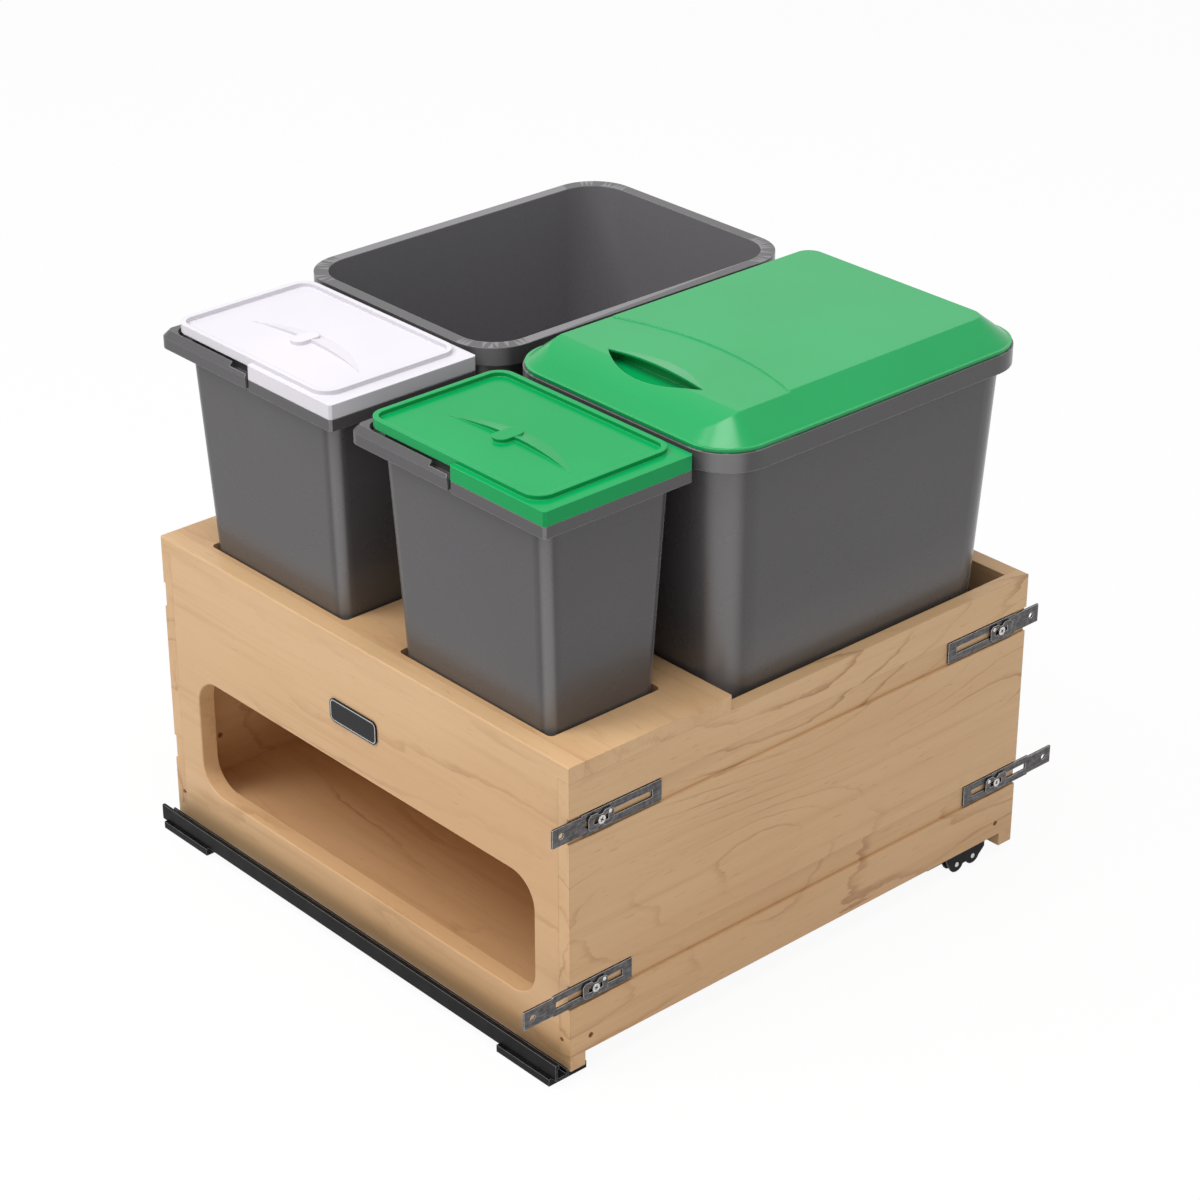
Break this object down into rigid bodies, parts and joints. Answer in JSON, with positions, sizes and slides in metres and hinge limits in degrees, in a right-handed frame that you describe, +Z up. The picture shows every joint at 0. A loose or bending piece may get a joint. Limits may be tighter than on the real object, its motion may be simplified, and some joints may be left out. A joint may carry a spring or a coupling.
{
  "type": "pull out trash cabinet",
  "caption": "Wooden pull-out tray on floor slides for a base cabinet, with large and small lift-out waste bins, lids, bail handles and an open storage compartment.",
  "frame": {"origin": "centre of the closed unit in plan, on the cabinet floor under the slides", "axes": "+X to the right seen from the front, +Y to the rear, +Z up; the tray pulls out along -Y"},
  "size_m": [0.534, 0.615, 0.5165],
  "materials": {
    "maple_wood": "clear-coated, satin",
    "grey_plastic": "fine moulded texture",
    "green_plastic": "moulded, slight sheen",
    "white_plastic": "moulded, slight sheen",
    "bracket_steel": "zinc plated",
    "slide_steel": "zinc plated",
    "black_steel": "black powder coat",
    "nylon": "moulded",
    "plaque_black": "gloss"
  },
  "bodies": {
    "floor_tracks": {"cabinet_track_left": "slide_steel", "cabinet_track_right": "slide_steel", "rear_bracket_left": "black_steel", "rear_bracket_right": "black_steel"},
    "beam_left": {"slide_beam_left": "slide_steel", "bearing_blocks_left": "nylon"},
    "beam_right": {"slide_beam_right": "slide_steel", "bearing_blocks_right": "nylon"},
    "tray": {"front_panel": "maple_wood", "side_panel_left": "maple_wood", "side_panel_right": "maple_wood", "rear_panel": "maple_wood", "base_panel": "maple_wood", "bay_divider": "maple_wood", "bin_shelf": "maple_wood", "top_board": "maple_wood", "blank_plaque": "plaque_black", "tray_runner_left": "slide_steel", "tray_runner_right": "slide_steel", "slide_clip_left": "black_steel", "slide_clip_right": "black_steel", "rail_foot_left": "black_steel", "rail_foot_right": "black_steel", "cross_rail": "black_steel", "bracket_clamps": "bracket_steel", "bracket_screws": "bracket_steel"},
    "door_bracket_front_upper": {"door_bracket_front_upper": "bracket_steel"},
    "door_bracket_front_lower": {"door_bracket_front_lower": "bracket_steel"},
    "door_bracket_rear_upper": {"door_bracket_rear_upper": "bracket_steel"},
    "door_bracket_rear_lower": {"door_bracket_rear_lower": "bracket_steel"},
    "large_bin_left": {"large_bin_left": "grey_plastic"},
    "large_bin_right": {"large_bin_right": "grey_plastic"},
    "large_bin_lid": {"large_bin_lid": "green_plastic"},
    "small_bin_left": {"small_bin_left": "grey_plastic"},
    "small_bin_right": {"small_bin_right": "grey_plastic"},
    "small_lid_left": {"small_lid_left": "white_plastic"},
    "small_lid_right": {"small_lid_right": "green_plastic"},
    "bail_handle_left": {"bail_handle_left": "grey_plastic"},
    "bail_handle_right": {"bail_handle_right": "grey_plastic"}
  },
  "joints": [
    {"name": "tray_slide", "type": "slide", "parent": "floor_tracks", "child": "tray", "axis": [0, -1, 0], "range_m": [0, 0.5]},
    {"name": "beam_left_slide", "type": "slide", "parent": "floor_tracks", "child": "beam_left", "axis": [0, -1, 0], "range_m": [0, 0.25]},
    {"name": "beam_right_slide", "type": "slide", "parent": "floor_tracks", "child": "beam_right", "axis": [0, -1, 0], "range_m": [0, 0.25]},
    {"name": "door_bracket_front_upper_slide", "type": "slide", "parent": "tray", "child": "door_bracket_front_upper", "axis": [0, -1, 0], "range_m": [-0.0133, 0.0523]},
    {"name": "door_bracket_front_lower_slide", "type": "slide", "parent": "tray", "child": "door_bracket_front_lower", "axis": [0, -1, 0], "range_m": [-0.0378, 0.0278]},
    {"name": "door_bracket_rear_upper_slide", "type": "slide", "parent": "tray", "child": "door_bracket_rear_upper", "axis": [0, 1, 0], "range_m": [-0.0133, 0.0523]},
    {"name": "door_bracket_rear_lower_slide", "type": "slide", "parent": "tray", "child": "door_bracket_rear_lower", "axis": [0, 1, 0], "range_m": [-0.0378, 0.0278]},
    {"name": "large_bin_left_lift", "type": "slide", "parent": "tray", "child": "large_bin_left", "axis": [0, 0, 1], "range_m": [0, 0.27]},
    {"name": "large_bin_right_lift", "type": "slide", "parent": "tray", "child": "large_bin_right", "axis": [0, 0, 1], "range_m": [0, 0.27]},
    {"name": "large_bin_lid_lift", "type": "slide", "parent": "large_bin_right", "child": "large_bin_lid", "axis": [0, 0, 1], "range_m": [0, 0.05]},
    {"name": "small_bin_left_lift", "type": "slide", "parent": "tray", "child": "small_bin_left", "axis": [0, 0, 1], "range_m": [0, 0.13]},
    {"name": "small_lid_left_lift", "type": "slide", "parent": "small_bin_left", "child": "small_lid_left", "axis": [0, 0, 1], "range_m": [0, 0.05]},
    {"name": "bail_handle_left_hinge", "type": "hinge", "parent": "small_bin_left", "child": "bail_handle_left", "pos_m": [-0.1445, -0.182, 0.47], "axis": [0, 1, 0], "range_deg": [0, 90]},
    {"name": "small_bin_right_lift", "type": "slide", "parent": "tray", "child": "small_bin_right", "axis": [0, 0, 1], "range_m": [0, 0.13]},
    {"name": "small_lid_right_lift", "type": "slide", "parent": "small_bin_right", "child": "small_lid_right", "axis": [0, 0, 1], "range_m": [0, 0.05]},
    {"name": "bail_handle_right_hinge", "type": "hinge", "parent": "small_bin_right", "child": "bail_handle_right", "pos_m": [0.1105, -0.182, 0.47], "axis": [0, 1, 0], "range_deg": [0, 90]}
  ],
  "couplings": [
    {"joint": "beam_left_slide", "follows": "tray_slide", "ratio": 0.5},
    {"joint": "beam_right_slide", "follows": "tray_slide", "ratio": 0.5}
  ]
}
